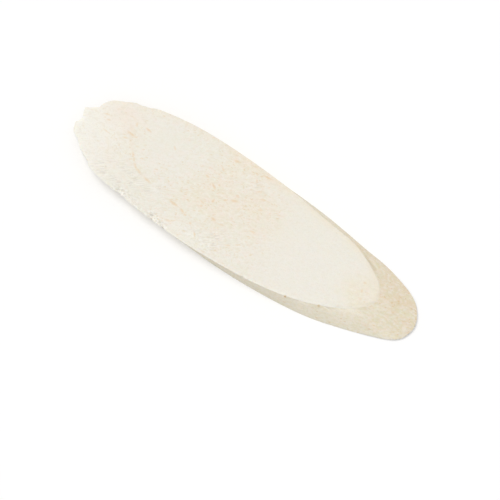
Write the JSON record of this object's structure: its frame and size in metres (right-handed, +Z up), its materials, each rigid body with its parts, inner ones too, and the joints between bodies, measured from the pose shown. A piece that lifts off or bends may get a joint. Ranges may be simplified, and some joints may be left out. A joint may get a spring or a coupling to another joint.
{
  "type": "dried chinese yam slice",
  "caption": "Long flat slice of dried Chinese yam, sawn on a slant, with pale cut faces, a sloping peeled end and a thin chipped end.",
  "frame": {"origin": "on the ground, under the middle of the slice's bounding box", "axes": "+Z up, through the slice's thickness; +X along its length, towards the end where the peeled side faces up; +Y across its width"},
  "size_m": [0.1579, 0.0434, 0.0055],
  "materials": {
    "yam_flesh": "matte, dry and starchy cream flesh; tan, finely fibrous on the peeled side"
  },
  "bodies": {
    "root": {"yam_slice": "yam_flesh"}
  },
  "joints": []
}
